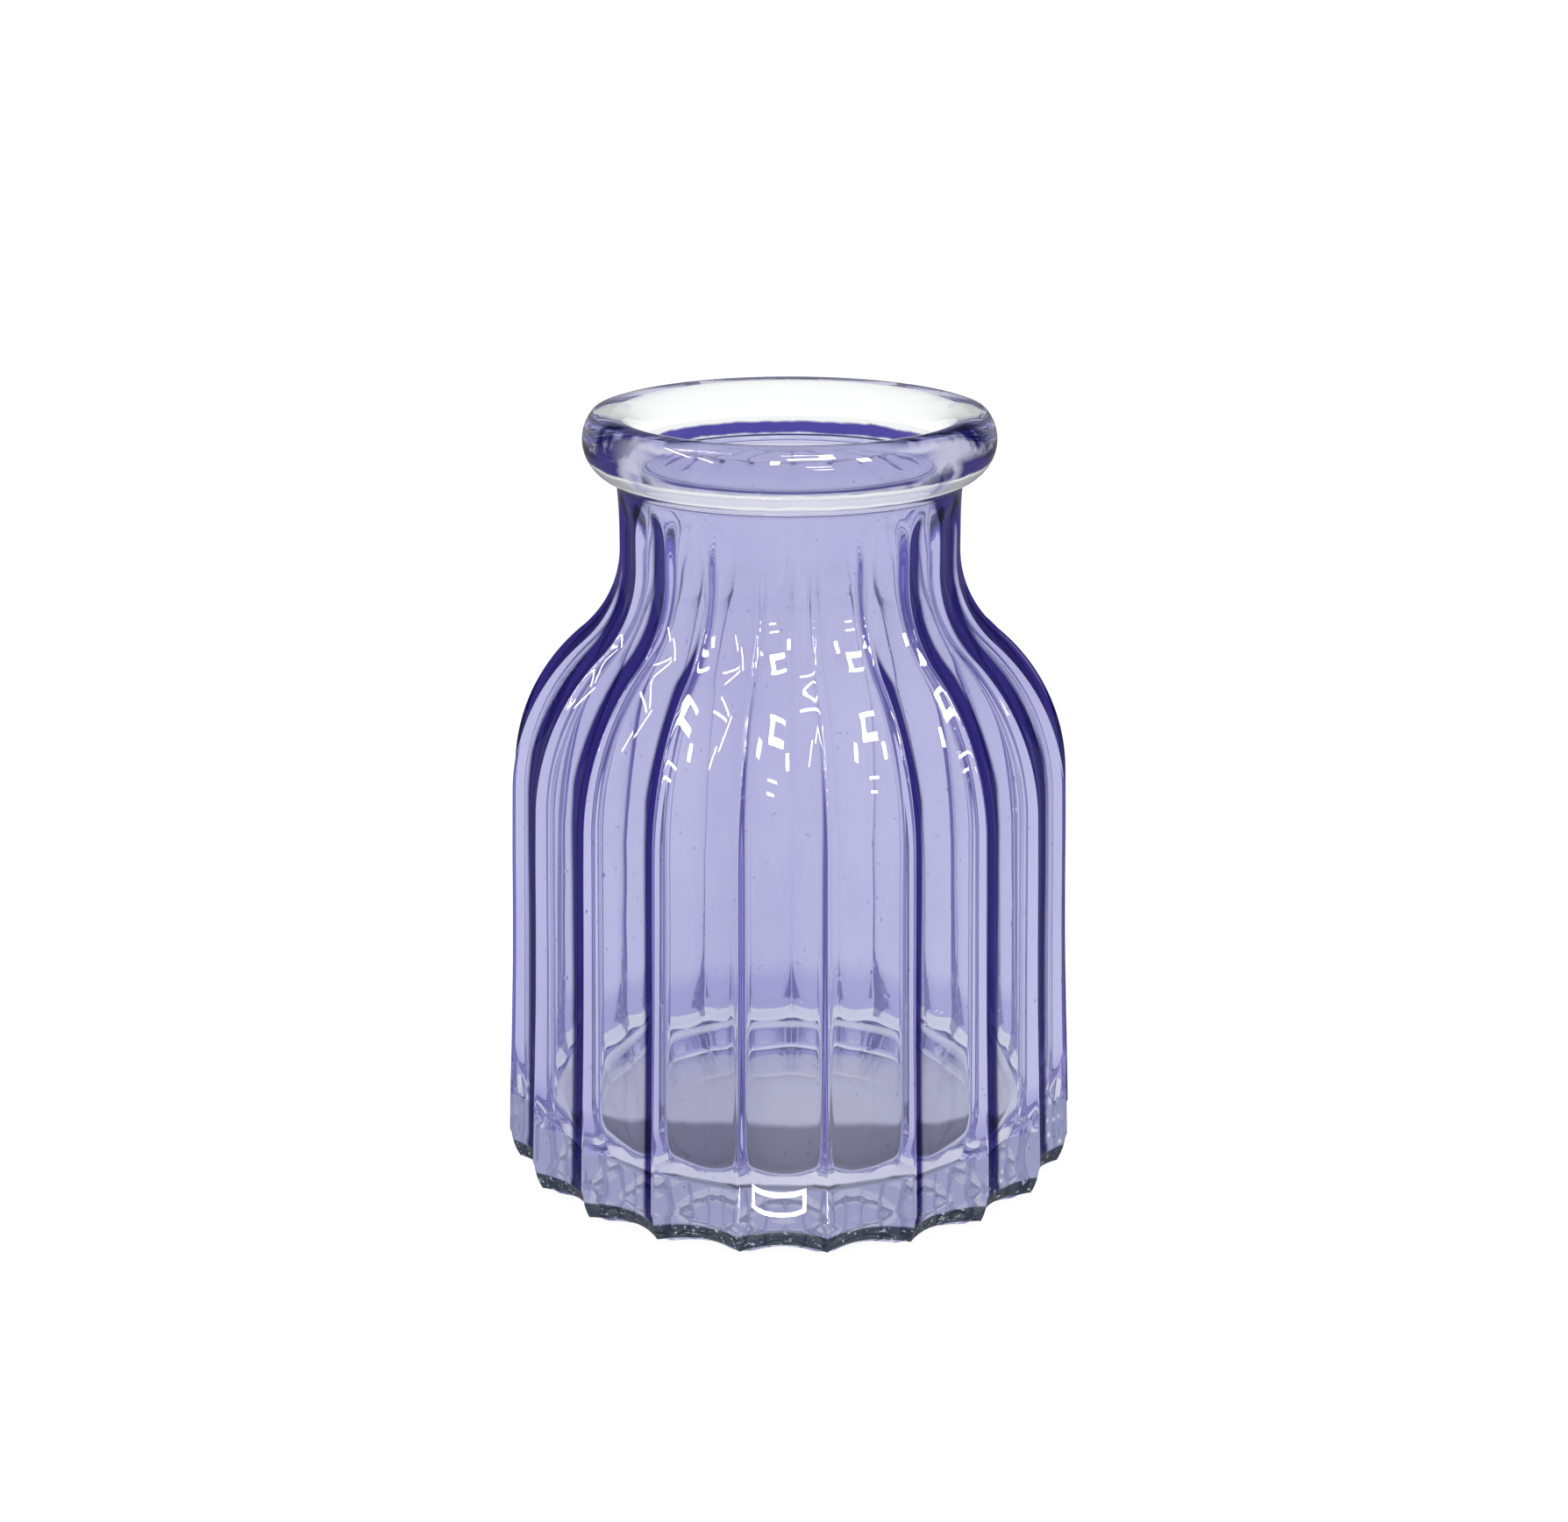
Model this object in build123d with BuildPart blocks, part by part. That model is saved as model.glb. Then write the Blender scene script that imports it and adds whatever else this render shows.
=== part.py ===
from math import atan2, cos, pi, radians, sin, sqrt
import os

from build123d import *

# Driving dimensions, in mm. The vase stands on z = 0, its axis is Z and its front faces -Y.
# Heights are measured down from the rim, and the straight body takes what is left.
height = 105.2
bead_height = 9.8
neck_length = 9.1  # straight part under the bead
shoulder_rise = 31.6  # the S curve between the body and the neck

heel_radius = 40.0  # circle of the flute crests just above the heel
body_taper = 1.75  # how much smaller that circle is at the shoulder
neck_radius = 23.1  # the same circle on the neck
shoulder_share = 0.65  # of the S curve's two radii, the share that the shoulder takes
heel_rounding = 3.2
foot_inset = 3.1  # from the heel in to the outer edge of the flat foot
wall = 2.4  # from the bottom of a flute to the inside

flute_count = 21
first_crest_angle = 7.3  # degrees from the front, towards +X
flute_radius = 9.5  # of the scoop that cuts one flute
scoop_depth = 6.0  # how far the scoop reaches out of the flute's bottom
crest_land = 0.14  # two scoops would meet this far above the crest, which leaves a narrow land on it
scoop_shoulder_share = 0.84
foot_turn = 53.0  # degrees that the flutes turn in above the foot
foot_turn_start = 5.0  # z where they begin to
arch_gap = 0.8  # from the top of a flute up to the bead
arch_radius = 4.0  # of the scoop's way out of the glass there

bead_projection = 4.5  # of its widest circle, from the neck
bead_centre_drop = 3.9  # that circle, below the rim
bead_root_out = 1.6  # hollow rounding between the neck and the bead
bead_root_rise = 1.4
rim_edge_out = 3.25  # outer edge of the rim's top, from the neck
rim_edge_drop = 0.25
rim_width = 4.65  # of the rounded top
mouth_drop = 0.9  # inner edge of the rim's top, below the rim
mouth_flare = 4.5  # height over which the bore widens to that edge

floor_thickness = 6.5
floor_rounding = 6.5
foot_ring = 5.9  # width of the flat foot, in from its outer edge
kick_height = 1.8  # rise of the dome inside it

coat_thickness = 0.15
coat_bottom_gap = 0.6  # from the heel's rounding up to the sprayed colour
coat_top_gap = 0.25  # from the rim's edge down to it

bead_start = height - bead_height
neck_start = bead_start - neck_length
shoulder_start = neck_start - shoulder_rise
shoulder_radius = heel_radius - body_taper
foot_radius = heel_radius - foot_inset
half_pitch = pi / flute_count
pitch_degrees = 360 / flute_count


def s_curve(low_radius, high_radius, tilt, share):
    """Centres, radii and turn of the two arcs from a wall tilted in by tilt up to the upright neck."""
    drop = low_radius - high_radius
    across = 1 - share + share * cos(tilt)
    up = share * sin(tilt)
    a = across**2 + up**2 - 1
    b = 2 * (up * shoulder_rise - across * drop)
    c = drop**2 + shoulder_rise**2
    both = 2 * c / (-b + sqrt(b**2 - 4 * a * c))
    low = share * both
    high = both - low
    low_centre = (low_radius - low * cos(tilt), shoulder_start - low * sin(tilt))
    high_centre = (high_radius + high, neck_start)
    turn = atan2(high_centre[1] - low_centre[1], high_centre[0] - low_centre[0])
    return low_centre, low, high_centre, high, tilt, turn


def s_curve_points(curve, inset=0.0):
    """Start, middle and end of each arc, moved towards the inside by inset."""
    low_centre, low, high_centre, high, tilt, turn = curve
    low, high = low - inset, high + inset

    def at(centre, radius, angle):
        return (centre[0] + radius * cos(angle), centre[1] + radius * sin(angle))

    return [
        at(low_centre, low, tilt),
        at(low_centre, low, (tilt + turn) / 2),
        at(low_centre, low, turn),
        at(high_centre, -high, turn / 2),
        at(high_centre, -high, 0),
    ]


def scoop_line_radius(crest_radius):
    """How far from the axis the scoop's centre line runs, where the crests have this radius."""
    edge = crest_radius + crest_land
    return edge * cos(half_pitch) + sqrt(flute_radius**2 - (edge * sin(half_pitch)) ** 2)


scoop_low = scoop_line_radius(heel_radius)
scoop_shoulder = scoop_line_radius(shoulder_radius)
scoop_neck = scoop_line_radius(neck_radius)
scoop_tilt = atan2(scoop_low - scoop_shoulder, shoulder_start - foot_turn_start)
scoop_curve = s_curve(scoop_shoulder, scoop_neck, scoop_tilt, scoop_shoulder_share)
bore_radius = scoop_neck - flute_radius - wall


def make_scoop(extra):
    """The cutter of one flute, swept from below the foot to its way out under the bead."""
    to_foot = radians(foot_turn)
    foot_arc = foot_turn_start / sin(to_foot) + flute_radius
    foot_end = to_foot + radians(20)
    out_turn = radians(40)
    out_arc = arch_radius + flute_radius
    flute_depth = neck_radius - (scoop_neck - flute_radius)
    arch_start = bead_start - arch_gap - sqrt(2 * out_arc * flute_depth - flute_depth**2)

    def foot_point(angle):
        return (scoop_low - foot_arc * (1 - cos(angle)), foot_turn_start - foot_arc * sin(angle))

    def arch_point(angle):
        return (scoop_neck + arch_radius * (1 - cos(angle)), arch_start + arch_radius * sin(angle))

    curve = s_curve_points(scoop_curve)
    with BuildLine(Plane.XZ) as centre_line:
        ThreePointArc(foot_point(foot_end), foot_point(foot_end / 2), foot_point(0))
        Line(foot_point(0), curve[0])
        ThreePointArc(curve[0], curve[1], curve[2])
        ThreePointArc(curve[2], curve[3], curve[4])
        Line(curve[4], arch_point(0))
        ThreePointArc(arch_point(0), arch_point(out_turn / 2), arch_point(out_turn))

    radius = flute_radius - extra
    chord = radius - scoop_depth
    half_width = sqrt(radius**2 - chord**2)
    along = centre_line.line % 0
    towards_glass = along.cross(Vector(0, 1, 0))
    with BuildPart() as scoop:
        with BuildSketch(Plane(origin=centre_line.line @ 0, x_dir=towards_glass, z_dir=along)):
            with BuildLine():
                ThreePointArc((chord, half_width), (radius, 0), (chord, -half_width))
                Line((chord, -half_width), (chord, half_width))
            make_face()
        sweep(path=centre_line.line)
    return scoop.part


def make_flute_wedge(extra):
    """One flute's share of the vase below the bead, solid to the axis."""
    crest = heel_radius + extra
    neck = neck_radius + extra
    wall_tilt = atan2(body_taper, shoulder_start - heel_rounding)
    curve = s_curve_points(s_curve(shoulder_radius + extra, neck, wall_tilt, shoulder_share))
    scoop = make_scoop(extra)
    diagonal = sin(pi / 4)
    with BuildPart() as flute_wedge:
        with BuildSketch(Plane.XZ.rotated((0, 0, -pitch_degrees / 2))):
            with BuildLine():
                Line((0, 0), (foot_radius, 0))
                ThreePointArc(
                    (foot_radius, 0),
                    (foot_radius + (crest - foot_radius) * diagonal, heel_rounding * (1 - diagonal)),
                    (crest, heel_rounding),
                )
                Line((crest, heel_rounding), curve[0])
                ThreePointArc(curve[0], curve[1], curve[2])
                ThreePointArc(curve[2], curve[3], curve[4])
                Polyline(curve[4], (neck, bead_start), (0, bead_start), (0, 0))
            make_face()
        revolve(axis=Axis.Z, revolution_arc=pitch_degrees)
        add(scoop, mode=Mode.SUBTRACT)
    return flute_wedge.part


def outer_form(extra):
    """The whole outside as one solid with no hollow, its coloured walls moved out by extra."""
    flute_wedge = make_flute_wedge(extra)
    neck = neck_radius + extra
    neck_top = bead_start - arch_gap / 2
    root_end = (neck + bead_root_out, bead_start + bead_root_rise - extra)
    rim_edge = (neck + rim_edge_out, height - rim_edge_drop)
    mouth_edge = (neck_radius + rim_edge_out - rim_width, height - mouth_drop)
    crown = neck_radius + rim_edge_out - 0.4 * rim_width
    with BuildPart() as form:
        with PolarLocations(0, flute_count, start_angle=-90 + first_crest_angle + pitch_degrees / 2):
            add(flute_wedge)
        with BuildSketch(Plane.XZ):
            with BuildLine():
                Polyline((0, neck_top), (neck, neck_top), (neck, bead_start))
                ThreePointArc(
                    (neck, bead_start),
                    (neck + 0.3 * bead_root_out, bead_start + 0.65 * bead_root_rise - extra),
                    root_end,
                )
                ThreePointArc(root_end, (neck + bead_projection, height - bead_centre_drop), rim_edge)
                ThreePointArc(rim_edge, (crown, height), mouth_edge)
                Polyline(mouth_edge, (0, mouth_edge[1]), (0, neck_top))
            make_face()
        revolve(axis=Axis.Z)
    return form.part


os.makedirs("parts", exist_ok=True)
plain_form = outer_form(0)

# The clear glass: the fluted form hollowed through the mouth, its foot pushed up in the middle.
with BuildPart() as glass_vessel:
    add(plain_form)
    with BuildSketch(Plane.XZ):
        inner_wall = s_curve_points(scoop_curve, inset=flute_radius + wall)
        corner_top = floor_thickness + floor_rounding
        corner_radius = inner_wall[0][0] + (shoulder_start - corner_top) * sin(scoop_tilt)
        corner_middle = floor_rounding * (1 - sin(pi / 4))
        mouth_radius = neck_radius + rim_edge_out - rim_width
        mouth_edge = (mouth_radius, height - mouth_drop)
        flare_start = (bore_radius, height - mouth_flare)
        flare_middle = (bore_radius + 0.25 * (mouth_radius - bore_radius), height - 0.55 * mouth_flare)
        with BuildLine():
            Line((0, floor_thickness), (corner_radius - floor_rounding, floor_thickness))
            ThreePointArc(
                (corner_radius - floor_rounding, floor_thickness),
                (corner_radius - corner_middle, floor_thickness + corner_middle),
                (corner_radius, corner_top),
            )
            Line((corner_radius, corner_top), inner_wall[0])
            ThreePointArc(inner_wall[0], inner_wall[1], inner_wall[2])
            ThreePointArc(inner_wall[2], inner_wall[3], inner_wall[4])
            Line(inner_wall[4], flare_start)
            ThreePointArc(flare_start, flare_middle, mouth_edge)
            Polyline(mouth_edge, (mouth_radius, height + 1), (0, height + 1), (0, floor_thickness))
        make_face()
    revolve(axis=Axis.Z, mode=Mode.SUBTRACT)
    with BuildSketch(Plane.XZ):
        kick_radius = foot_radius - foot_ring
        sphere_radius = (kick_radius**2 + kick_height**2) / (2 * kick_height)
        halfway = kick_radius / 2
        halfway_height = kick_height - sphere_radius + sqrt(sphere_radius**2 - halfway**2)
        with BuildLine():
            ThreePointArc((kick_radius, 0), (halfway, halfway_height), (0, kick_height))
            Polyline((0, kick_height), (0, -1), (kick_radius, -1), (kick_radius, 0))
        make_face()
    revolve(axis=Axis.Z, mode=Mode.SUBTRACT)

# The sprayed colour: a skin over the outside, from just above the heel to the rim's outer edge.
coat_bottom = heel_rounding + coat_bottom_gap
coat_top = height - rim_edge_drop - coat_top_gap
coated_form = outer_form(coat_thickness)
with BuildPart() as colour_coat:
    add(coated_form)
    with Locations((0, 0, (coat_bottom + coat_top) / 2)):
        Box(3 * heel_radius, 3 * heel_radius, coat_top - coat_bottom, mode=Mode.INTERSECT)
    add(plain_form, mode=Mode.SUBTRACT)

glass_vessel.part.label = "glass_vessel"
export_step(glass_vessel.part, "parts/glass_vessel.step")
colour_coat.part.label = "colour_coat"
export_step(colour_coat.part, "parts/colour_coat.step")
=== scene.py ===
import math

import bpy
import numpy as np
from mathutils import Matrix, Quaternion, Vector, noise


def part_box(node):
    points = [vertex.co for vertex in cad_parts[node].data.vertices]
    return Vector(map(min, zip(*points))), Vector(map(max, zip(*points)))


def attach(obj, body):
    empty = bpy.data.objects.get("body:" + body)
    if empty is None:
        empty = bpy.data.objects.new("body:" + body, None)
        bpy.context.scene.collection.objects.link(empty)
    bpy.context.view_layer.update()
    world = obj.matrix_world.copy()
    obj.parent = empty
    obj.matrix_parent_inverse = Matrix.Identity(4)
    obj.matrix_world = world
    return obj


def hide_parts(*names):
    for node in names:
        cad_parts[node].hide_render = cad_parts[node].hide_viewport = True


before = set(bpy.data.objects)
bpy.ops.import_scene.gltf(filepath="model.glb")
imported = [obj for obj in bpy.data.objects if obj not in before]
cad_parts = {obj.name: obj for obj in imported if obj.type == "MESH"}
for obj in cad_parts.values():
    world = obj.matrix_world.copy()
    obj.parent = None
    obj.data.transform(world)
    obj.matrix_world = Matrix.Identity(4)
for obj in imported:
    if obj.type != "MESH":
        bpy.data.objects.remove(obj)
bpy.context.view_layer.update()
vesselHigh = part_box("glass_vessel")[1]
print("frame loaded, vase height", round(vesselHigh.z, 4))

# lengths of the vase are in mm of the CAD part, and mm turns them into scene units
vase = {
    "height": 105.2,
    "footRadius": 36.9,
    "heelRadius": 40.0,
    "heelRounding": 3.2,
    "footEdge": 0.5,
    "wallBow": 0.22,
    "shoulderRadius": 38.25,
    "shoulderStart": 54.7,
    "shoulderShare": 0.65,
    "neckRadius": 23.1,
    "neckStart": 86.3,
    "beadStart": 95.4,
    "beadRootOut": 1.6,
    "beadRootRise": 1.4,
    "beadRootBend": (0.3, 0.65),
    "beadRadius": 27.6,
    "beadCentre": 101.3,
    "rimEdgeRadius": 26.35,
    "rimEdgeDrop": 0.25,
    "crownShare": 0.4,
    "mouthRadius": 21.7,
    "mouthDrop": 0.9,
    "mouthFlare": 4.5,
    "mouthBend": (0.25, 0.55),
    "boreRadius": 19.95,
    "innerShoulderRadius": 33.65,
    "innerHeelRadius": 34.6,
    "innerShoulderShare": 0.60,
    "floorHeight": 6.5,
    "floorRounding": 6.5,
    "kickRadius": 31.0,
    "kickHeight": 1.8,
}
flutes = {
    "count": 21,
    "firstCrest": 7.3,
    "radius": 9.5,
    "land": 0.14,
    "crestSoftness": 0.10,
    "footTurn": 53.0,
    "footTurnStart": 5.0,
    "archStart": 90.0,
    "archRadius": 13.5,
    "archEnd": 0.99,
}
inside = {
    "wall": 1.7,
    "crestSoftness": 0.3,
    "fadeStart": 88.0,
    "fadeEnd": 95.0,
    "lowFadeStart": 8.0,
    "lowFadeEnd": 16.0,
}
# how far the glass wanders from its drawn form, in mm, and how quickly round the axis and along it
waves = {
    "outside": 0.02,
    "inside": 0.07,
    "insideStreaks": 0.04,
    "seed": 4.7,
    "slow": (1.6, 22.0),
    "streak": (7.0, 60.0),
    "fine": (6.0, 7.0),
    "middleRadius": 12.0,
}
# how finely the mesh is divided
division = {
    "columnsPerFlute": 26,
    "crestGathering": 0.72,
    "outerSpacing": 0.75,
    "innerSpacing": 1.1,
    "domeRows": 12,
    "domeStart": 0.06,
    "footRingShares": (0.15, 0.5, 0.85),
    "footEdgeTurns": (0, 22, 45, 68),
    "footEdgeMargin": 1.05,
    "crownRows": 12,
    "coatedCrownRows": 8,
}

mm = vesselHigh.z / vase["height"]
halfPitch = math.pi / flutes["count"]


def arc(centre, radius, start, end, steps):
    # points on a circle in (radius, height), angles in degrees, 0 is outwards
    angles = np.radians(np.linspace(start, end, steps))
    return np.stack([centre[0] + radius * np.cos(angles), centre[1] + radius * np.sin(angles)], 1)


def nearestTurn(angle, reference):
    # the same direction, less than half a turn away from the reference
    while angle - reference > 180:
        angle -= 360
    while angle - reference < -180:
        angle += 360
    return angle


def arcThrough(a, b, c, steps):
    # round stretch from a through b to c
    (ax, ay), (bx, by), (cx, cy) = a, b, c
    d = 2 * (ax * (by - cy) + bx * (cy - ay) + cx * (ay - by))
    ux = ((ax**2 + ay**2) * (by - cy) + (bx**2 + by**2) * (cy - ay) + (cx**2 + cy**2) * (ay - by)) / d
    uy = ((ax**2 + ay**2) * (cx - bx) + (bx**2 + by**2) * (ax - cx) + (cx**2 + cy**2) * (bx - ax)) / d
    start = math.degrees(math.atan2(ay - uy, ax - ux))
    middle = nearestTurn(math.degrees(math.atan2(by - uy, bx - ux)), start)
    end = nearestTurn(math.degrees(math.atan2(cy - uy, cx - ux)), middle)
    return arc((ux, uy), math.hypot(ax - ux, ay - uy), start, end, steps)


def sCurve(low, high, lowZ, highZ, tilt, share, steps):
    # shoulder arc and neck arc that meet without a corner
    drop, rise = low - high, highZ - lowZ
    across, up = 1 - share + share * math.cos(tilt), share * math.sin(tilt)
    a, b, c = across**2 + up**2 - 1, 2 * (up * rise - across * drop), drop**2 + rise**2
    both = 2 * c / (-b + math.sqrt(b * b - 4 * a * c))
    lowArc, highArc = share * both, (1 - share) * both
    lowCentre = (low - lowArc * math.cos(tilt), lowZ - lowArc * math.sin(tilt))
    highCentre = (high + highArc, highZ)
    turn = math.atan2(highCentre[1] - lowCentre[1], highCentre[0] - lowCentre[0])
    first = arc(lowCentre, lowArc, math.degrees(tilt), math.degrees(turn), steps)
    second = arc(highCentre, -highArc, math.degrees(turn), 0, steps)
    return np.concatenate([first[:-1], second])


def straight(a, b, steps):
    t = np.linspace(0, 1, steps)[:, None]
    return np.array(a) * (1 - t) + np.array(b) * t


def joined(parts):
    # one line from stretches that share their ends
    return np.concatenate([parts[0]] + [part[1:] for part in parts[1:]])


def even(points, spacing):
    # the same line with its points a chosen distance apart
    lengths = np.concatenate([[0], np.cumsum(np.hypot(*np.diff(points, axis=0).T))])
    wanted = np.linspace(0, lengths[-1], max(2, int(round(lengths[-1] / spacing)) + 1))
    return np.stack([np.interp(wanted, lengths, points[:, k]) for k in (0, 1)], 1)


def directions(line):
    # the unit direction along the line at each point
    tangent = np.gradient(line, axis=0)
    return tangent / np.hypot(*tangent.T)[:, None]


def outerCrestLine():
    # the crests' outline from the foot's edge to the rim's outer edge
    v = vase
    tilt = math.atan2(v["heelRadius"] - v["shoulderRadius"], v["shoulderStart"] - v["heelRounding"])
    diagonal = math.sin(math.pi / 4)
    heelTop = (v["heelRadius"], v["heelRounding"])
    heelMiddle = (
        v["footRadius"] + (v["heelRadius"] - v["footRadius"]) * diagonal,
        v["heelRounding"] * (1 - diagonal),
    )
    heel = arcThrough((v["footRadius"], 0), heelMiddle, heelTop, steps=24)
    wall = straight(heelTop, (v["shoulderRadius"], v["shoulderStart"]), steps=60)
    share = np.linspace(0, 1, len(wall))
    wall[:, 0] -= v["wallBow"] * np.sin(math.pi * share) ** 2
    shoulder = sCurve(
        v["shoulderRadius"],
        v["neckRadius"],
        v["shoulderStart"],
        v["neckStart"],
        tilt,
        v["shoulderShare"],
        steps=60,
    )
    rootStart = (v["neckRadius"], v["beadStart"])
    neck = straight((v["neckRadius"], v["neckStart"]), rootStart, steps=20)
    rootEnd = (v["neckRadius"] + v["beadRootOut"], v["beadStart"] + v["beadRootRise"])
    bendOut, bendUp = v["beadRootBend"]
    rootMiddle = (v["neckRadius"] + bendOut * v["beadRootOut"], v["beadStart"] + bendUp * v["beadRootRise"])
    root = arcThrough(rootStart, rootMiddle, rootEnd, steps=8)
    rimEdge = (v["rimEdgeRadius"], v["height"] - v["rimEdgeDrop"])
    bead = arcThrough(rootEnd, (v["beadRadius"], v["beadCentre"]), rimEdge, steps=40)
    return joined([heel, wall, shoulder, neck, root, bead])


def innerLine():
    # the inside's outline from the mouth's edge down to the middle of the floor
    v = vase
    tilt = math.atan2(v["innerHeelRadius"] - v["innerShoulderRadius"], v["shoulderStart"])
    mouth = (v["mouthRadius"], v["height"] - v["mouthDrop"])
    flareStart = (v["boreRadius"], v["height"] - v["mouthFlare"])
    bendOut, bendDown = v["mouthBend"]
    flareMiddle = (
        v["boreRadius"] + bendOut * (v["mouthRadius"] - v["boreRadius"]),
        v["height"] - bendDown * v["mouthFlare"],
    )
    flare = arcThrough(mouth, flareMiddle, flareStart, steps=12)
    neck = straight(flareStart, (v["boreRadius"], v["neckStart"]), steps=20)
    shoulder = sCurve(
        v["innerShoulderRadius"],
        v["boreRadius"],
        v["shoulderStart"],
        v["neckStart"],
        tilt,
        v["innerShoulderShare"],
        steps=50,
    )[::-1]
    cornerTop = v["floorHeight"] + v["floorRounding"]
    cornerRadius = v["innerShoulderRadius"] + (v["shoulderStart"] - cornerTop) * math.tan(tilt)
    wall = straight((v["innerShoulderRadius"], v["shoulderStart"]), (cornerRadius, cornerTop), steps=40)
    floorRadius = cornerRadius - v["floorRounding"]
    corner = arc((floorRadius, cornerTop), v["floorRounding"], 0, -90, steps=24)
    floor = straight((floorRadius, v["floorHeight"]), (0.0, v["floorHeight"]), steps=30)
    return joined([flare, neck, shoulder, wall, corner, floor])


def scoopRadius(crest, angle):
    # radius of the scooped surface at an angle from the flute's middle
    edge = crest + flutes["land"]
    line = edge * math.cos(halfPitch) + math.sqrt(flutes["radius"] ** 2 - (edge * math.sin(halfPitch)) ** 2)
    side = np.clip(line * np.sin(angle) / flutes["radius"], -1, 1)
    return line * np.cos(angle) - flutes["radius"] * np.sqrt(1 - side**2)


def softUnder(value, softness):
    # never below zero, with a small rounding where it reaches it
    return 0.5 * (value + np.sqrt(value**2 + softness**2))


def smooth(share):
    # 0 to 1 with level ends
    share = np.clip(share, 0, 1)
    return share * share * (3 - 2 * share)


def columnAngles():
    # each column's angle round the axis and from its flute's middle, closer together at the crests
    t = np.linspace(-1, 1, division["columnsPerFlute"] + 1)[:-1]
    gathering = division["crestGathering"]
    local = np.sin(t * math.pi / 2) * gathering + t * (1 - gathering)
    angles, offsets = [], []
    for k in range(flutes["count"]):
        middle = math.radians(-90 + flutes["firstCrest"]) + halfPitch * (2 * k + 1)
        angles.append(middle + local * halfPitch)
        offsets.append(local * halfPitch)
    return np.concatenate(angles), np.concatenate(offsets)


def innerRow(radius, z, normal, local):
    # the inside follows the flutes at a wall's distance, with rounder crests
    scoop = flutes["radius"] + inside["wall"]
    line = radius + scoop
    soft = inside["crestSoftness"] / max(radius, 1.0)
    fromCrest = np.sqrt((halfPitch - np.abs(local)) ** 2 + soft**2)
    angle = np.clip(halfPitch - fromCrest, 0, None)
    rise = line * np.cos(angle) - np.sqrt(scoop**2 - (line * np.sin(angle)) ** 2) - radius
    up = smooth((z - inside["fadeStart"]) / (inside["fadeEnd"] - inside["fadeStart"]))
    down = smooth((z - inside["lowFadeStart"]) / (inside["lowFadeEnd"] - inside["lowFadeStart"]))
    rise = rise * (1 - up) * down
    return np.stack([radius + normal[0] * rise, z + normal[1] * rise], 1)


def innerRows(local):
    line = even(innerLine(), division["innerSpacing"])
    rows = []
    for (radius, z), (along, up) in zip(line[:-1], directions(line)):
        rows.append(innerRow(radius, z, (-up, along), local))
    return rows


def footRow(crest, z, local):
    # the flutes run out in a turn at the foot
    footArc = flutes["footTurnStart"] / math.sin(math.radians(flutes["footTurn"]))
    valley = scoopRadius(vase["heelRadius"], 0.0)
    side = vase["heelRadius"] * np.abs(local)
    lift = flutes["radius"] - np.sqrt(flutes["radius"] ** 2 - side**2)
    drop = flutes["footTurnStart"] - z
    scooped = valley - footArc + np.sqrt((footArc + lift) ** 2 - drop**2)
    depth = softUnder(crest - scooped, flutes["crestSoftness"])
    return np.stack([crest - depth, np.full_like(depth, z)], 1)


def outerRows(local):
    # one row of points for each point of the crest line
    line = even(outerCrestLine(), division["outerSpacing"])
    rows = []
    for (crest, z), (along, up) in zip(line, directions(line)):
        if z < flutes["footTurnStart"] + 1e-6:
            rows.append(footRow(crest, z, local))
            continue
        depth = crest - scoopRadius(crest, local)
        if z > flutes["archStart"]:
            way = min(z - flutes["archStart"], flutes["archRadius"] * flutes["archEnd"])
            depth = depth - (flutes["archRadius"] - math.sqrt(flutes["archRadius"] ** 2 - way**2))
        if z > vase["beadStart"]:
            depth = np.full_like(depth, -1.0)
        depth = softUnder(depth, flutes["crestSoftness"])
        rows.append(np.stack([crest - up * depth, z + along * depth], 1))
    return rows


def undersideRows(outline):
    # dome, flat ring and the small rounding of the foot's edge
    kick, rise, edge = vase["kickRadius"], vase["kickHeight"], vase["footEdge"]
    columns = len(outline)
    sphere = (kick**2 + rise**2) / (2 * rise)
    rows = []
    for share in np.linspace(division["domeStart"], 1, division["domeRows"]):
        radius = share * kick
        z = rise - sphere + math.sqrt(sphere**2 - radius**2)
        rows.append(np.stack([np.full(columns, radius), np.full(columns, z)], 1))
    for share in division["footRingShares"]:
        rows.append(np.stack([kick + share * (outline - edge - kick), np.zeros(columns)], 1))
    for turn in np.radians(division["footEdgeTurns"]):
        radius = outline - edge + edge * math.sin(turn)
        rows.append(np.stack([radius, np.full(columns, edge * (1 - math.cos(turn)))], 1))
    return rows


def crownRows(columns):
    # the top of the rim between its outer edge and the mouth
    v = vase
    rimEdge = (v["rimEdgeRadius"], v["height"] - v["rimEdgeDrop"])
    mouth = (v["mouthRadius"], v["height"] - v["mouthDrop"])
    crown = (v["rimEdgeRadius"] - v["crownShare"] * (v["rimEdgeRadius"] - v["mouthRadius"]), v["height"])
    line = arcThrough(rimEdge, crown, mouth, steps=division["crownRows"] + 2)[1:-1]
    return [np.stack([np.full(columns, radius), np.full(columns, z)], 1) for radius, z in line]


def uneven(radius, z, angle, isInside):
    # the radius with the gentle unevenness of the glass
    def wave(kind, seed=0.0):
        turns, length = waves[kind]
        return noise.noise(Vector((math.cos(angle) * turns, math.sin(angle) * turns, z / length + seed)))

    if isInside:
        amount = waves["inside"] * wave("slow", waves["seed"]) + waves["insideStreaks"] * wave("streak")
    else:
        amount = waves["outside"] * wave("fine")
    return radius + amount * min(1.0, radius / waves["middleRadius"])


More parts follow.
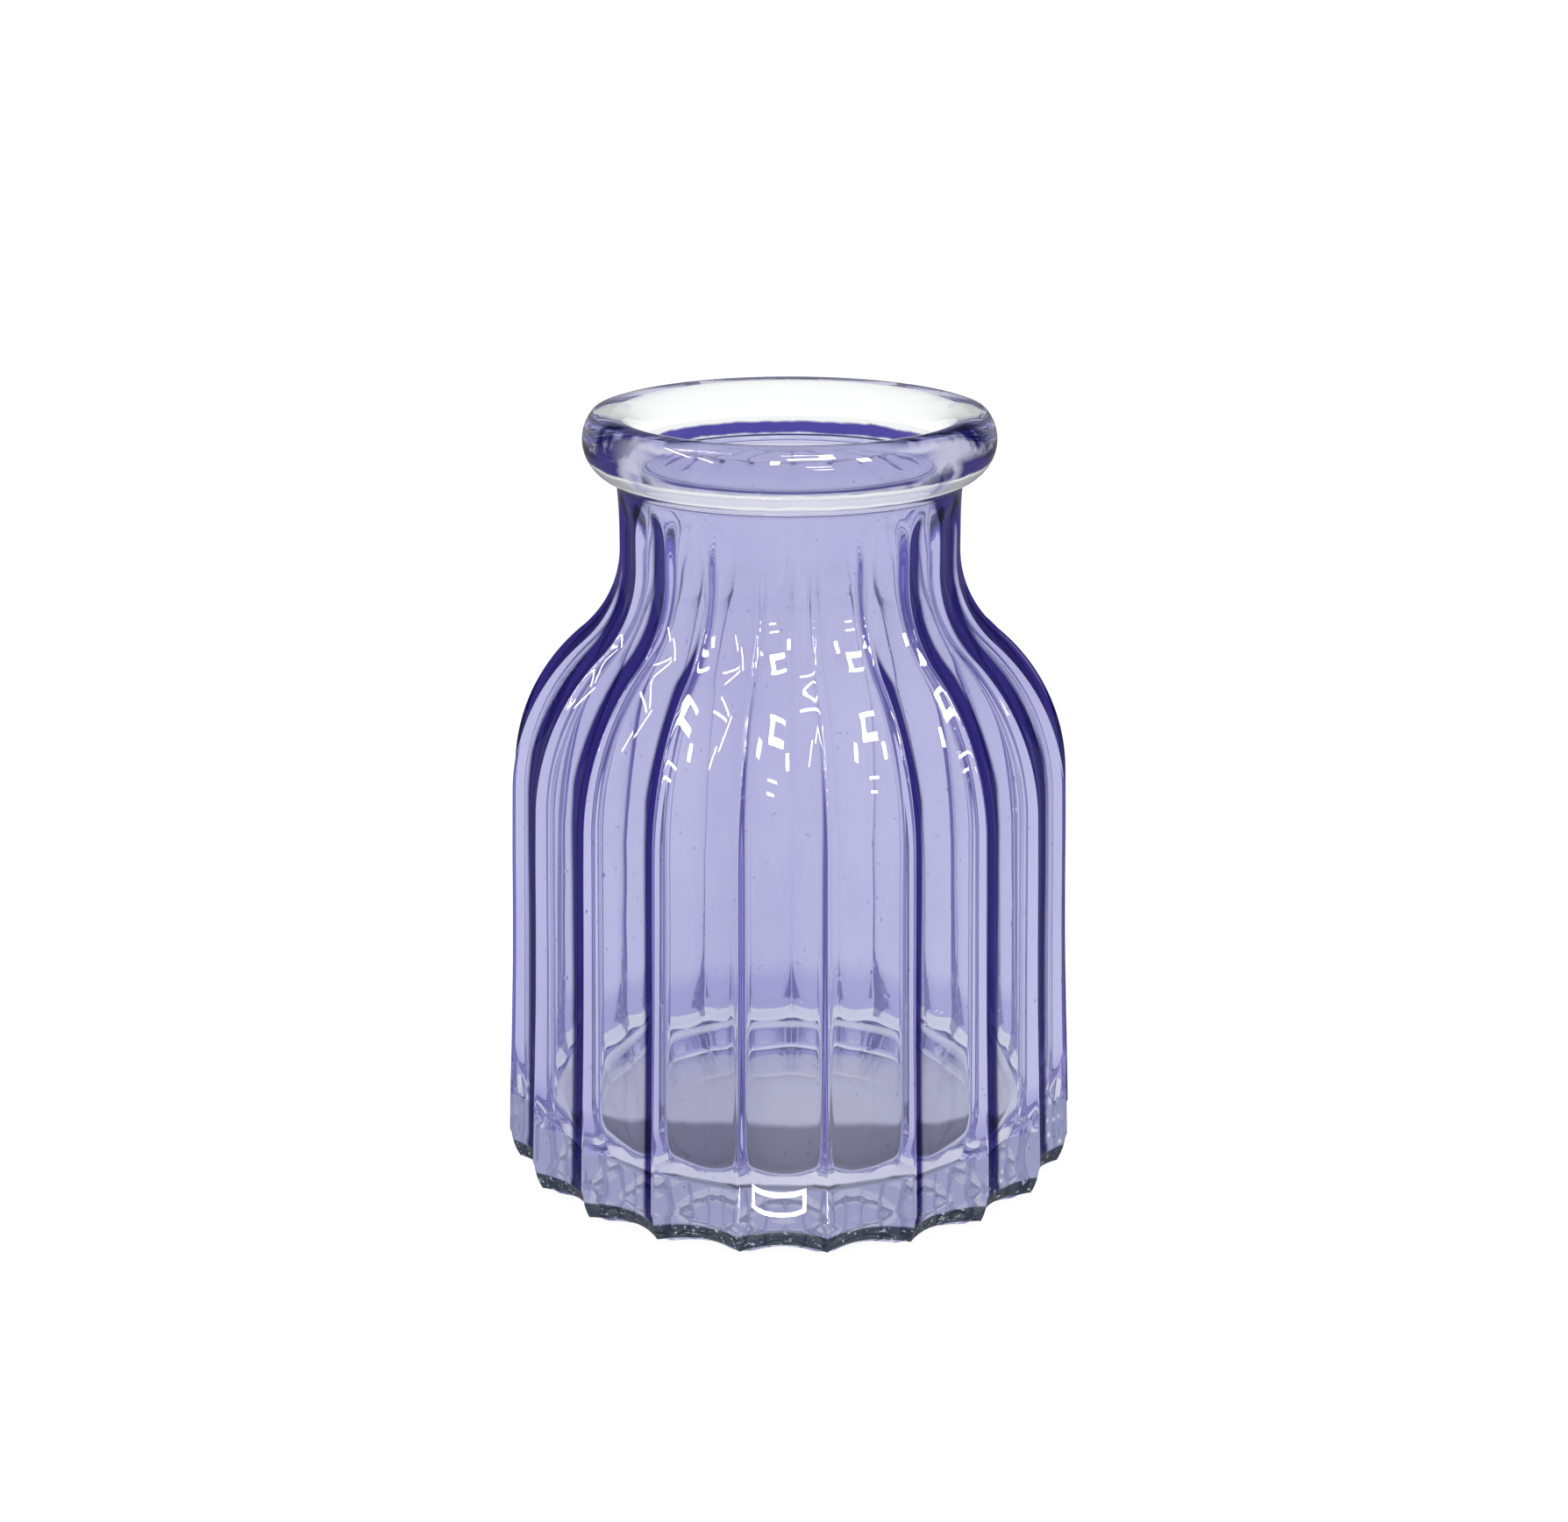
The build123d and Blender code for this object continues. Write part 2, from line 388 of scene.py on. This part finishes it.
def buildVessel():
    angles, local = columnAngles()
    columns = len(angles)
    outer = outerRows(local)
    rows = undersideRows(outer[0][:, 0])
    coatStart = len(rows)
    rows += [row for row in outer if row[0, 1] > vase["footEdge"] * division["footEdgeMargin"]]
    coatEnd = len(rows) + division["coatedCrownRows"] - 1
    rows += crownRows(columns)
    insideStart = len(rows)
    rows += innerRows(local)
    points = []
    for i, row in enumerate(rows):
        for (radius, z), angle in zip(row, angles):
            radius = uneven(radius, z, angle, i >= insideStart)
            points.append((radius * math.cos(angle) * mm, radius * math.sin(angle) * mm, z * mm))
    bottom, floor = len(points), len(points) + 1
    points.append((0, 0, vase["kickHeight"] * mm))
    points.append((0, 0, vase["floorHeight"] * mm))
    # slot 0 is clear glass, 1 is coated glass and 2 is the coated solid foot
    faces, slots = [], []
    for j in range(columns):
        k = (j + 1) % columns
        faces.append((bottom, k, j))
        slots.append(0)
        for i in range(len(rows) - 1):
            low, high = i * columns, (i + 1) * columns
            faces.append((low + j, low + k, high + k, high + j))
            coated = 1 if rows[i][0, 1] > coat["footTop"] else 2
            slots.append(coated if coatStart <= i < coatEnd else 0)
        last = (len(rows) - 1) * columns
        faces.append((last + j, last + k, floor))
        slots.append(0)
    mesh = bpy.data.meshes.new("fluted_glass_vessel")
    mesh.from_pydata(points, [], faces)
    mesh.update()
    for polygon, slot in zip(mesh.polygons, slots):
        polygon.material_index = slot
        polygon.use_smooth = True
    vessel = bpy.data.objects.new("fluted_glass_vessel", mesh)
    bpy.context.collection.objects.link(vessel)
    print("vessel", len(points), "points", len(faces), "faces")
    return vessel


def feed(tree, socket, value):
    # links a socket, and sets anything else as the plain value
    if isinstance(value, bpy.types.NodeSocket):
        tree.links.new(value, socket)
    else:
        socket.default_value = value


def newMaterial(name):
    material = bpy.data.materials.new(name)
    material.use_nodes = True
    material.node_tree.nodes.clear()
    return material, material.node_tree


def newGroup(name, inputs, outputs):
    # a shader node group with number sockets, the inputs with their first values
    group = bpy.data.node_groups.new(name, "ShaderNodeTree")
    for label, value in inputs.items():
        socket = group.interface.new_socket(name=label, in_out="INPUT", socket_type="NodeSocketFloat")
        socket.default_value = value
    for label in outputs:
        group.interface.new_socket(name=label, in_out="OUTPUT", socket_type="NodeSocketFloat")
    entry = group.nodes.new("NodeGroupInput")
    leave = group.nodes.new("NodeGroupOutput")
    return group, entry.outputs, leave.inputs


def placeGroup(tree, group, values):
    node = tree.nodes.new("ShaderNodeGroup")
    node.node_tree = group
    for label, value in values.items():
        node.inputs[label].default_value = value
    return node.outputs


def objectPlaces(tree):
    # where a point lies on the object, whole and split
    places = tree.nodes.new("ShaderNodeTexCoord").outputs["Object"]
    split = tree.nodes.new("ShaderNodeSeparateXYZ")
    tree.links.new(places, split.inputs[0])
    return places, split.outputs


def mathNode(tree, operation, *values):
    node = tree.nodes.new("ShaderNodeMath")
    node.operation = operation
    for socket, value in zip(node.inputs, values):
        feed(tree, socket, value)
    return node.outputs[0]


def times(tree, *values):
    result = values[0]
    for value in values[1:]:
        result = mathNode(tree, "MULTIPLY", result, value)
    return result


def largest(tree, *values):
    result = values[0]
    for value in values[1:]:
        result = mathNode(tree, "MAXIMUM", result, value)
    return result


def rest(tree, value):
    # what is left of 1
    return mathNode(tree, "SUBTRACT", 1.0, value)


def vectorNode(tree, operation, *values):
    node = tree.nodes.new("ShaderNodeVectorMath")
    node.operation = operation
    for socket, value in zip(node.inputs, values):
        feed(tree, socket, value)
    return node.outputs["Value" if operation == "LENGTH" else "Vector"]


def noiseNode(tree, coordinates, scale, detail=2.0):
    node = tree.nodes.new("ShaderNodeTexNoise")
    node.inputs["Detail"].default_value = detail
    feed(tree, node.inputs["Vector"], coordinates)
    feed(tree, node.inputs["Scale"], scale)
    return node.outputs[0]


def mixColour(tree, share, a, b):
    node = tree.nodes.new("ShaderNodeMix")
    node.data_type = "RGBA"
    feed(tree, node.inputs["Factor"], share)
    feed(tree, node.inputs[6], a)
    feed(tree, node.inputs[7], b)
    return node.outputs[2]


def rangeNode(tree, value, low, high):
    # 0 at low, 1 at high, smooth between
    node = tree.nodes.new("ShaderNodeMapRange")
    node.interpolation_type = "SMOOTHSTEP"
    feed(tree, node.inputs["Value"], value)
    feed(tree, node.inputs["From Min"], low)
    feed(tree, node.inputs["From Max"], high)
    return node.outputs[0]


def band(tree, value, low, high, lowFade, highFade):
    # 1 between two heights, fading inwards at both
    rising = rangeNode(tree, value, low, mathNode(tree, "ADD", low, lowFade))
    falling = rest(tree, rangeNode(tree, value, mathNode(tree, "SUBTRACT", high, highFade), high))
    return times(tree, rising, falling)


def patches(tree, coordinates, look):
    # uneven spots, 1 inside them
    spots = noiseNode(tree, coordinates, look["scale"], look["detail"])
    return rangeNode(tree, spots, look["from"], look["to"])


def dots(tree, coordinates, scale, solid, edge):
    # round dots, one in each cell
    cells = tree.nodes.new("ShaderNodeTexVoronoi")
    feed(tree, cells.inputs["Vector"], coordinates)
    feed(tree, cells.inputs["Scale"], scale)
    return rest(tree, rangeNode(tree, cells.outputs["Distance"], solid, edge))


# patterns of the spray, with scales per scene unit
spray = {
    "wobbleScale": 260.0,
    "wobbleDetail": 3.0,
    "cloudStretch": (1.0, 1.0, 0.35),
    "cloud": {"detail": 4.0, "from": 0.3, "to": 0.7},
    "blotch": {"scale": 190.0, "detail": 3.0, "from": 0.42, "to": 0.56},
    # small light patches, drawn as painted highlights in the heel's painted shade
    "paintedGlint": {"scale": 1400.0, "detail": 2.0, "from": 0.60, "to": 0.72},
    "speckScale": 900.0,
    "speckSize": (0.10, 0.22),
    "speckPatch": {"scale": 700.0, "detail": 0.0, "from": 0.58, "to": 0.66},
    "dropSize": (0.14, 0.26),
    "dropPatch": {"scale": 120.0, "detail": 0.0, "from": 0.50, "to": 0.58},
    "dropSide": (0.010, 0.020),
}


def sprayCover():
    # where the sprayed colour lies, and how unevenly
    group, entry, leave = newGroup(
        "spray_cover",
        {
            "Lower Edge": 0.0,
            "Upper Edge": 1.0,
            "Bead Low": 0.9,
            "Bead High": 1.0,
            "Bead Fade": 0.001,
            "Ring Low": 0.9,
            "Ring High": 1.0,
            "Drop Scale": 400.0,
            "Drop Top": 0.01,
            "Wander": 0.001,
            "Softness": 0.001,
            "Cloud Scale": 50.0,
        },
        ["Cover", "Bead Cover", "Cloud", "Ring", "Blotch", "Painted Glint", "Speck"],
    )
    places, split = objectPlaces(group)
    noisy = noiseNode(group, places, spray["wobbleScale"], spray["wobbleDetail"])
    wobble = mathNode(group, "SUBTRACT", noisy, 0.5)
    moved = mathNode(group, "ADD", split["Z"], times(group, wobble, entry["Wander"]))
    soft = entry["Softness"]
    # drops that ran down and dried near the lower edge left clear spots
    drop = dots(group, places, entry["Drop Scale"], *spray["dropSize"])
    lowDown = rest(group, rangeNode(group, split["Z"], entry["Lower Edge"], entry["Drop Top"]))
    oneSide = rangeNode(group, split["X"], *spray["dropSide"])
    drop = times(group, drop, patches(group, places, spray["dropPatch"]), lowDown, oneSide)
    cover = band(group, moved, entry["Lower Edge"], entry["Upper Edge"], soft, soft)
    feed(group, leave["Cover"], times(group, cover, rest(group, drop)))
    # the gun reaches the bead's side but hardly the hollow under it, where less colour lies; inside, the
    # ring in that hollow is painted dark, a painted shade for the dark arc under the bead
    bead = band(group, moved, entry["Bead Low"], entry["Bead High"], soft, entry["Bead Fade"])
    feed(group, leave["Bead Cover"], bead)
    feed(group, leave["Ring"], band(group, moved, entry["Ring Low"], entry["Ring High"], soft, soft))
    feed(group, leave["Blotch"], patches(group, places, spray["blotch"]))
    # painted highlights for the heel's painted shade
    feed(group, leave["Painted Glint"], patches(group, places, spray["paintedGlint"]))
    # long soft clouds, drawn out along the height as the vase turned under the gun
    stretch = group.nodes.new("ShaderNodeMapping")
    stretch.inputs["Scale"].default_value = spray["cloudStretch"]
    feed(group, stretch.inputs["Vector"], places)
    cloud = {"scale": entry["Cloud Scale"], **spray["cloud"]}
    feed(group, leave["Cloud"], patches(group, stretch.outputs[0], cloud))
    speck = dots(group, places, spray["speckScale"], *spray["speckSize"])
    feed(group, leave["Speck"], times(group, speck, patches(group, places, spray["speckPatch"])))
    return group


# tints are per crossing of the surface, and heights, reaches and fades are in scene units
coat = {
    "tint": (0.43, 0.42, 0.68, 1),
    "paleTint": (0.555, 0.55, 0.78, 1),
    "footTint": (0.36, 0.375, 0.56, 1),
    "beadTint": (0.38, 0.375, 0.60, 1),
    # almost black: painted shade for the dark lines along the crests, also the colour of the dark specks and
    # the bead's blotches
    "speckAndShadeTint": (0.003, 0.0015, 0.06, 1),
    "insideTint": (0.67, 0.665, 0.86, 1),
    "deepInsideTint": (0.45, 0.42, 0.80, 1),
    "lowInsideTint": (0.50, 0.49, 0.76, 1),
    "beadPaleInside": (0.45, 0.44, 0.74, 1),
    # dark blotches on the bead, and painted shade inside the ring under the bead
    "beadDarkAndRingShadeTint": (0.06, 0.045, 0.34, 1),
    # the heel is painted dark as painted shade, with painted highlights
    "heelPaintedShade": (0.03, 0.04, 0.052, 1),
    "heelPaintedGlint": (0.55, 0.60, 0.62, 1),
    "clearness": 0.82,
    "footClearness": 0.38,
    "footTop": 9.6,
    # view angles at which the painted shade comes in, on the walls and on the bead
    "grazingShade": (0.365, 0.442),
    "beadGrazingShade": (0.10, 0.50),
    "trapped": (0.34, 0.60),
    "leanUp": 0.577,
    "leanRange": (0.24, 0.05),
    "beadThins": (0.1030, 0.1012),
    "heavySide": (-0.004, -0.012),
    "crown": (0.0236, 0.0252),
    "beadEnds": (0.010, 0.016),
    # how far across the painted shade inside the ring reaches, only in the middle
    "ringReach": (0.0255, 0.0205),
    "lowInside": (0.014, 0.009),
    "heelShadeFade": (0.0031, 0.0043),
    "gapShare": 0.7,
    "specks": 0.35,
}
coatEdges = {
    "Lower Edge": 0.0031,
    "Upper Edge": 0.0972,
    "Bead Low": 0.0991,
    "Bead High": 0.1075,
    "Bead Fade": 0.0022,
    "Ring Low": 0.0973,
    "Ring High": 0.0992,
    "Drop Scale": 560.0,
    "Drop Top": 0.0135,
    "Wander": 0.0007,
    "Softness": 0.0004,
    "Cloud Scale": 45.0,
}
glassTint = {
    "clear": (0.955, 0.965, 0.96, 1),
    "thick": (0.86, 0.89, 0.89, 1),
    "thickTop": 0.012,
    "waveHeight": 0.000009,
    "seedSize": (0.05, 0.2),
    "seedPatch": {"scale": 300.0, "detail": 0.0, "from": 0.60, "to": 0.66},
    "seedHeight": 1.5,
    "ior": 1.5,
}
glassScales = {"Wave Scale": 140.0, "Seed Scale": 420.0}


def glassUnevenness():
    # the mould's slow waves and the small seeds in the glass
    group, entry, leave = newGroup(
        "glass_unevenness", {"Wave Scale": 100.0, "Seed Scale": 400.0}, ["Height", "Seed"]
    )
    places, split = objectPlaces(group)
    slow = noiseNode(group, places, entry["Wave Scale"])
    seed = dots(group, places, entry["Seed Scale"], *glassTint["seedSize"])
    seed = times(group, seed, patches(group, places, glassTint["seedPatch"]))
    feed(group, leave["Seed"], seed)
    feed(group, leave["Height"], mathNode(group, "ADD", slow, times(group, seed, glassTint["seedHeight"])))
    return group


def glassBase(tree, unevenness):
    # clear glass colour, darker and greener where the foot is thick, and its bump normal
    places, split = objectPlaces(tree)
    high = rangeNode(tree, split["Z"], 0.0, glassTint["thickTop"])
    colour = mixColour(tree, high, glassTint["thick"], glassTint["clear"])
    uneven = placeGroup(tree, unevenness, glassScales)
    bump = tree.nodes.new("ShaderNodeBump")
    bump.inputs["Distance"].default_value = glassTint["waveHeight"]
    feed(tree, bump.inputs["Height"], uneven["Height"])
    return colour, bump.outputs[0]


def glassShader(tree, colour, normal, clearness):
    glass = tree.nodes.new("ShaderNodeBsdfPrincipled")
    feed(tree, glass.inputs["Base Color"], colour)
    feed(tree, glass.inputs["Normal"], normal)
    glass.inputs["Roughness"].default_value = 0.0
    glass.inputs["IOR"].default_value = glassTint["ior"]
    glass.inputs["Transmission Weight"].default_value = clearness
    return glass.outputs[0]


def clearGlass(unevenness):
    material, tree = newMaterial("clear_glass")
    output = tree.nodes.new("ShaderNodeOutputMaterial")
    colour, normal = glassBase(tree, unevenness)
    feed(tree, output.inputs["Surface"], glassShader(tree, colour, normal, 1.0))
    return material


def facing(tree, normal=None):
    # 0 where the view meets the surface straight on, 1 at its edge
    layer = tree.nodes.new("ShaderNodeLayerWeight")
    layer.inputs["Blend"].default_value = 0.5
    if normal is not None:
        feed(tree, layer.inputs["Normal"], normal)
    return layer.outputs["Facing"]


def leaningNormal(tree, normal):
    # upright walls count as leaning up a little, so that from above only their flanks get the painted shade
    upward = tree.nodes.new("ShaderNodeSeparateXYZ")
    feed(tree, upward.inputs[0], normal)
    upright = rangeNode(tree, upward.outputs["Z"], *coat["leanRange"])
    lean = tree.nodes.new("ShaderNodeCombineXYZ")
    feed(tree, lean.inputs["Z"], times(tree, upright, coat["leanUp"]))
    return vectorNode(tree, "NORMALIZE", vectorNode(tree, "ADD", normal, lean.outputs[0]))


def coatShares(tree, cover, split, normal):
    # how much of each part of the coat lies at a point, from 0 to 1
    flat = tree.nodes.new("ShaderNodeCombineXYZ")
    feed(tree, flat.inputs["X"], split["X"])
    feed(tree, flat.inputs["Y"], split["Y"])
    outerPart = rangeNode(tree, vectorNode(tree, "LENGTH", flat.outputs[0]), *coat["crown"])
    # the coat thins out towards the top of the bead, less so on the side that caught more spray
    thick = rangeNode(tree, split["Z"], *coat["beadThins"])
    heavySide = rangeNode(tree, split["Y"], *coat["heavySide"])
    bead = times(tree, cover["Bead Cover"], times(tree, largest(tree, heavySide, thick), outerPart))
    aside = mathNode(tree, "ABSOLUTE", split["X"])
    # where the view meets the lacquer at a flat angle it is painted almost black: a painted shade for the
    # dark lines along the crests, with a little of it from the longer path through the lacquer there; the
    # lacquer is also dark in specks, and in blotches on the bead that show only where the view is flat,
    # which is painted shade too
    grazingShade = rangeNode(tree, facing(tree, leaningNormal(tree, normal)), *coat["grazingShade"])
    plainFacing = facing(tree)
    beadGrazingShade = rangeNode(tree, plainFacing, *coat["beadGrazingShade"])
    ends = largest(tree, rangeNode(tree, aside, *coat["beadEnds"]), thick)
    blotch = times(tree, beadGrazingShade, bead, cover["Blotch"], ends)
    speck = times(tree, cover["Speck"], coat["specks"])
    return {
        "laidOn": largest(tree, cover["Cover"], times(tree, cover["Ring"], coat["gapShare"]), bead),
        "darkSpecksAndShade": largest(tree, times(tree, grazingShade, thick), speck, blotch),
        "trapped": rangeNode(tree, plainFacing, *coat["trapped"]),
        # painted shade inside the ring under the bead, kept to the middle
        "ring": times(tree, cover["Ring"], rangeNode(tree, aside, *coat["ringReach"])),
        "caught": times(tree, heavySide, bead, thick),
    }


def outsideColour(tree, cover, split, shares, tint, paleTint, clear):
    colour = mixColour(tree, cover["Cloud"], tint, paleTint)
    colour = mixColour(tree, cover["Bead Cover"], colour, coat["beadTint"])
    # painted shade at a flat view, with the dark specks and blotches
    colour = mixColour(tree, shares["darkSpecksAndShade"], colour, coat["speckAndShadeTint"])
    # below the colour the thick clear foot is painted dark grey, a painted shade with small painted
    # highlights in it, fading to clear glass higher up
    heel = mixColour(tree, cover["Painted Glint"], coat["heelPaintedShade"], coat["heelPaintedGlint"])
    bare = mixColour(tree, rangeNode(tree, split["Z"], *coat["heelShadeFade"]), heel, clear)
    return mixColour(tree, shares["laidOn"], bare, colour)


def insideColour(tree, cover, split, shares, clear):
    colour = mixColour(tree, shares["trapped"], coat["insideTint"], coat["deepInsideTint"])
    lowDown = rangeNode(tree, split["Z"], *coat["lowInside"])
    colour = mixColour(tree, lowDown, colour, coat["lowInsideTint"])
    colour = mixColour(tree, cover["Cover"], clear, colour)
    # the ring under the bead is painted dark inside: painted shade
    colour = mixColour(tree, shares["ring"], colour, coat["beadDarkAndRingShadeTint"])
    beadInside = mixColour(tree, cover["Blotch"], coat["beadPaleInside"], coat["beadDarkAndRingShadeTint"])
    return mixColour(tree, shares["caught"], colour, beadInside)


def coatedGlass(name, clearness, tint, paleTint, coverGroup, unevenness):
    # the lacquer colours light on its way in and again on its way out
    material, tree = newMaterial(name)
    output = tree.nodes.new("ShaderNodeOutputMaterial")
    clear, normal = glassBase(tree, unevenness)
    cover = placeGroup(tree, coverGroup, coatEdges)
    places, split = objectPlaces(tree)
    side = tree.nodes.new("ShaderNodeNewGeometry")
    shares = coatShares(tree, cover, split, side.outputs["Normal"])
    outside = outsideColour(tree, cover, split, shares, tint, paleTint, clear)
    inward = tree.nodes.new("ShaderNodeBsdfGlass")
    feed(tree, inward.inputs["Color"], insideColour(tree, cover, split, shares, clear))
    feed(tree, inward.inputs["Normal"], normal)
    inward.inputs["Roughness"].default_value = 0.0
    inward.inputs["IOR"].default_value = glassTint["ior"]
    mix = tree.nodes.new("ShaderNodeMixShader")
    feed(tree, mix.inputs["Fac"], side.outputs["Backfacing"])
    feed(tree, mix.inputs[1], glassShader(tree, outside, normal, clearness))
    feed(tree, mix.inputs[2], inward.outputs[0])
    feed(tree, output.inputs["Surface"], mix.outputs[0])
    return material


vessel = buildVessel()
unevenness = glassUnevenness()
cover = sprayCover()
glassParts = [
    clearGlass(unevenness),
    coatedGlass("violet_coated_glass", coat["clearness"], coat["tint"], coat["paleTint"], cover, unevenness),
    coatedGlass(
        "violet_coated_foot", coat["footClearness"], coat["footTint"], coat["footTint"], cover, unevenness
    ),
]
for material in glassParts:
    vessel.data.materials.append(material)
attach(vessel, "root")
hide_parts("glass_vessel", "colour_coat")
print("glass and lacquer in place")

# strengths seen straight on, through the glass and mirrored by it, and the painted shadow on the paper
studio = {
    "floorSize": 12.0,
    "floorHeight": -0.00005,
    "paper": (0.12, 0.12, 0.12, 1),
    "paperRoughness": 0.9,
    "paperGlow": (0.95, 1.0, 0.06),
    "sky": (1.0, 1.0, 0.05),
    "shade": (-0.003, 0.000),
    "shadeRadius": (0.029, 0.031),
    "shadeDepth": 0.93,
    "shadeRippleScale": 90.0,
    "shadeRipple": 0.003,
    # glow left in the painted shadow under the vase
    "paintedShadowGlow": 0.66,
    "lampDistance": 0.9,
    "lampAim": 0.065,
    "stripPlace": -0.0490,
    "stripGlow": 34.0,
}
# lamps in front: azimuth and elevation, width and height and roll in degrees, and glow as radiance
lamps = [
    {"name": "window_top", "azimuth": 14, "elevation": 57, "wide": 22, "tall": 3, "glow": 34},
    {"name": "window_side", "azimuth": 25, "elevation": 50, "wide": 6, "tall": 14, "glow": 34},
    {"name": "window_low", "azimuth": 14, "elevation": 44, "wide": 22, "tall": 5, "glow": 34},
    {"name": "lamp_near", "azimuth": -8, "elevation": 34, "wide": 5, "tall": 9, "glow": 40},
    {"name": "lamp_far", "azimuth": 44, "elevation": 34, "wide": 6, "tall": 10, "glow": 26},
    {"name": "strip_high", "azimuth": 16, "elevation": 23, "wide": 14, "tall": 1.6, "glow": 30},
    {"name": "strip_low", "azimuth": 18, "elevation": 16, "wide": 10, "tall": 1.6, "glow": 26},
    {"name": "branch_a", "azimuth": -62, "elevation": 50, "wide": 24, "tall": 1.6, "roll": 38, "glow": 34},
    {"name": "branch_b", "azimuth": -50, "elevation": 30, "wide": 14, "tall": 1.6, "roll": -40, "glow": 34},
    {"name": "branch_c", "azimuth": -74, "elevation": 52, "wide": 20, "tall": 1.6, "roll": 66, "glow": 30},
    {"name": "branch_d", "azimuth": -72, "elevation": 36, "wide": 22, "tall": 1.6, "roll": -24, "glow": 34},
]
# small strips close to the foot that draw a bright frame in the front flute, in mm
footStrips = [
    {"name": "frame_top", "side": 0.0, "height": 4.1, "wide": 12.6, "tall": 0.8},
    {"name": "frame_low", "side": 0.0, "height": 1.3, "wide": 12.6, "tall": 0.7},
    {"name": "frame_left", "side": -6.0, "height": 2.7, "wide": 1.2, "tall": 3.4},
    {"name": "frame_right", "side": 6.0, "height": 2.7, "wide": 1.2, "tall": 3.4},
]


def lightPathMix(tree, direct, through, mirrored):
    # one strength for the camera, one for what is seen through the glass and one for what it mirrors
    path = tree.nodes.new("ShaderNodeLightPath")
    gloss = times(tree, path.outputs["Is Glossy Ray"], rest(tree, path.outputs["Is Transmission Ray"]))
    bent = tree.nodes.new("ShaderNodeMix")
    feed(tree, bent.inputs["Factor"], gloss)
    feed(tree, bent.inputs[2], through)
    feed(tree, bent.inputs[3], mirrored)
    seen = tree.nodes.new("ShaderNodeMix")
    feed(tree, seen.inputs["Factor"], path.outputs["Is Camera Ray"])
    feed(tree, seen.inputs[2], bent.outputs[0])
    feed(tree, seen.inputs[3], direct)
    return seen.outputs[0]


def studioPaper():
    # glowing paper, with a painted shadow under the vase, darkest under its front half
    material, tree = newMaterial("studio_paper")
    output = tree.nodes.new("ShaderNodeOutputMaterial")
    paper = tree.nodes.new("ShaderNodeBsdfPrincipled")
    paper.inputs["Base Color"].default_value = studio["paper"]
    paper.inputs["Roughness"].default_value = studio["paperRoughness"]
    paper.inputs["Specular IOR Level"].default_value = 0.0
    paper.inputs["Emission Color"].default_value = (1, 1, 1, 1)
    glow = lightPathMix(tree, *studio["paperGlow"])
    places, split = objectPlaces(tree)
    ripple = times(tree, noiseNode(tree, places, studio["shadeRippleScale"]), studio["shadeRipple"])
    front = rangeNode(tree, mathNode(tree, "ADD", split["Y"], ripple), *studio["shade"])
    outer = rangeNode(tree, vectorNode(tree, "LENGTH", places), *studio["shadeRadius"])
    # painted shadow: the glow drops under the vase, most under its front half
    shade = times(tree, rest(tree, largest(tree, front, outer)), studio["shadeDepth"])
    under = times(tree, rest(tree, outer), 1 - studio["paintedShadowGlow"])
    glow = times(tree, glow, rest(tree, shade), rest(tree, under))
    feed(tree, paper.inputs["Emission Strength"], glow)
    feed(tree, output.inputs["Surface"], paper.outputs[0])
    return material


def addLamp(name, place, away, roll, width, height, glow):
    # a lamp that shows only where the glass mirrors it
    data = bpy.data.lights.new(name, "AREA")
    data.shape = "RECTANGLE"
    data.size = width
    data.size_y = height
    data.energy = glow * math.pi * width * height
    light = bpy.data.objects.new(name, data)
    light.location = place
    turn = away.to_track_quat("Z", "Y")
    turn.rotate(Quaternion(away, roll))
    light.rotation_euler = turn.to_euler()
    light.visible_camera = False
    light.visible_diffuse = False
    light.visible_transmission = False
    bpy.context.collection.objects.link(light)


bpy.ops.mesh.primitive_plane_add(size=studio["floorSize"], location=(0, 0, studio["floorHeight"]))
floor = bpy.context.object
floor.name = "studio_floor"
floor.data.materials.append(studioPaper())

world = bpy.data.worlds.new("studio")
bpy.context.scene.world = world
world.use_nodes = True
sky = world.node_tree.nodes["Background"]
sky.inputs["Color"].default_value = (1, 1, 1, 1)
feed(world.node_tree, sky.inputs["Strength"], lightPathMix(world.node_tree, *studio["sky"]))

for lamp in lamps:
    azimuth, elevation = math.radians(lamp["azimuth"]), math.radians(lamp["elevation"])
    level = math.cos(elevation)
    away = Vector((math.sin(azimuth) * level, -math.cos(azimuth) * level, math.sin(elevation)))
    place = Vector((0, 0, studio["lampAim"])) + away * studio["lampDistance"]
    width = 2 * studio["lampDistance"] * math.tan(math.radians(lamp["wide"]) / 2)
    height = 2 * studio["lampDistance"] * math.tan(math.radians(lamp["tall"]) / 2)
    addLamp(lamp["name"], place, away, math.radians(lamp.get("roll", 0)), width, height, lamp["glow"])
for strip in footStrips:
    place = Vector((strip["side"] * mm, studio["stripPlace"], strip["height"] * mm))
    width, height = strip["wide"] * mm, strip["tall"] * mm
    addLamp(strip["name"], place, Vector((0, -1, 0)), 0.0, width, height, studio["stripGlow"])

cameraView = {"distance": 400.0, "height": 180.4, "side": -0.75, "tiltDown": 17.23, "lens": 69.93}
cameraData = bpy.data.cameras.new("camera")
cameraData.sensor_width = 36
cameraData.lens = cameraView["lens"]
cameraData.clip_start = 0.01
camera = bpy.data.objects.new("camera", cameraData)
camera.location = (cameraView["side"] * mm, -cameraView["distance"] * mm, cameraView["height"] * mm)
camera.rotation_euler = (math.radians(90 - cameraView["tiltDown"]), 0, 0)
bpy.context.collection.objects.link(camera)

scene = bpy.context.scene
scene.camera = camera
scene.view_settings.view_transform = "Standard"
scene.cycles.max_bounces = 24
scene.cycles.transmission_bounces = 24
scene.cycles.glossy_bounces = 16
scene.cycles.caustics_reflective = False
scene.cycles.caustics_refractive = False
print("studio, lights and camera in place")
